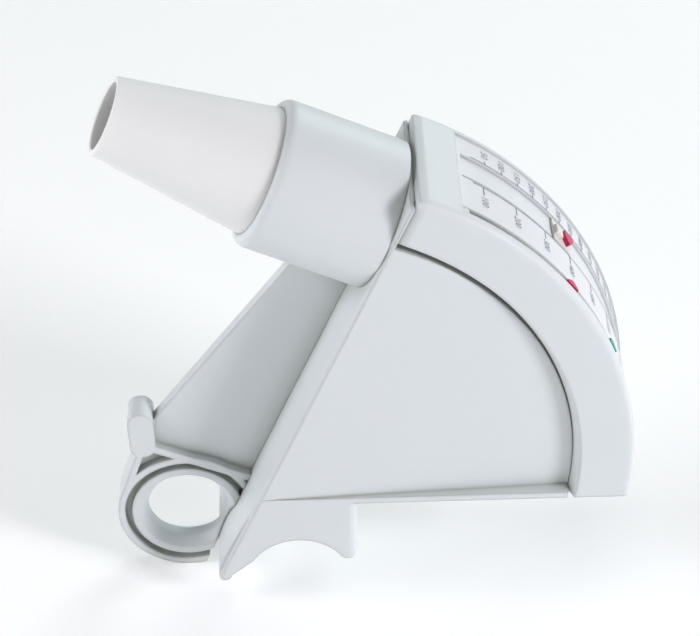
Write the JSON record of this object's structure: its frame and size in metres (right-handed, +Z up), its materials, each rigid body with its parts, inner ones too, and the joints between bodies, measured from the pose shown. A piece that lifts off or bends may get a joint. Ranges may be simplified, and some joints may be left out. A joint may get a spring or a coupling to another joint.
{
  "type": "peak flow meter",
  "caption": "Hand-held swinging-vane peak flow meter: fan-shaped case, curved scale with sliding pointer and zone markers, inlet tube with tapered mouthpiece and hanging ring.",
  "frame": {"origin": "centre of the bounding box's bottom face, level with the hanging ring's lowest point", "axes": "+Z up in the plane of the fan with the case's base level, +X from the mouthpiece towards the scale, +Y through the thickness from the near shell to the far shell"},
  "size_m": [0.1242, 0.0356, 0.1385],
  "materials": {
    "case": "fine satin moulding",
    "label": "printed film",
    "track": "satin",
    "slider": "satin",
    "red": "satin",
    "green": "satin",
    "vane": "satin",
    "steel": "bright",
    "bearing": "low friction",
    "rubber": "soft",
    "mouthpiece": "matte"
  },
  "bodies": {
    "case": {"near_shell": "case", "far_shell": "case", "inlet_tube": "case", "handle": "case", "scale_cover": "case", "scale_label": "label", "pointer_track": "track", "near_bearing": "bearing", "far_bearing": "bearing", "spring_post": "bearing", "return_spring": "steel", "zero_bumper": "rubber", "full_bumper": "rubber", "exhaust_grille": "case"},
    "vane": {"vane_blade": "vane", "vane_hub": "vane", "pivot_pin": "steel"},
    "pointer": {"pointer_slider": "slider", "pointer_arrow": "red", "pointer_grip": "slider"},
    "red_marker": {"red_marker": "red"},
    "green_marker": {"green_marker": "green"},
    "mouthpiece": {"mouthpiece": "mouthpiece"}
  },
  "joints": [
    {"name": "vane_swing", "type": "hinge", "parent": "case", "child": "vane", "pos_m": [-0.01979, 0, 0.04177], "axis": [0, 1, 0], "range_deg": [-19.8, 30], "stiffness_Nm_per_rad": 0.0016, "springref_deg": -21.77, "deforming": ["return_spring"]},
    {"name": "pointer_slide", "type": "hinge", "parent": "case", "child": "pointer", "pos_m": [-0.01979, 0, 0.04177], "axis": [0, 1, 0], "range_deg": [-19.8, 30]},
    {"name": "red_marker_slide", "type": "hinge", "parent": "case", "child": "red_marker", "pos_m": [-0.01979, 0, 0.04177], "axis": [0, 1, 0], "range_deg": [-20, 5]},
    {"name": "green_marker_slide", "type": "hinge", "parent": "case", "child": "green_marker", "pos_m": [-0.01979, 0, 0.04177], "axis": [0, 1, 0], "range_deg": [-5, 15]},
    {"name": "mouthpiece_pull", "type": "slide", "parent": "case", "child": "mouthpiece", "axis": [-0.9063, 0, 0.4226], "range_m": [0, 0.016]}
  ],
  "couplings": [
    {"joint": "pointer_slide", "follows": "vane_swing", "ratio": 1}
  ]
}
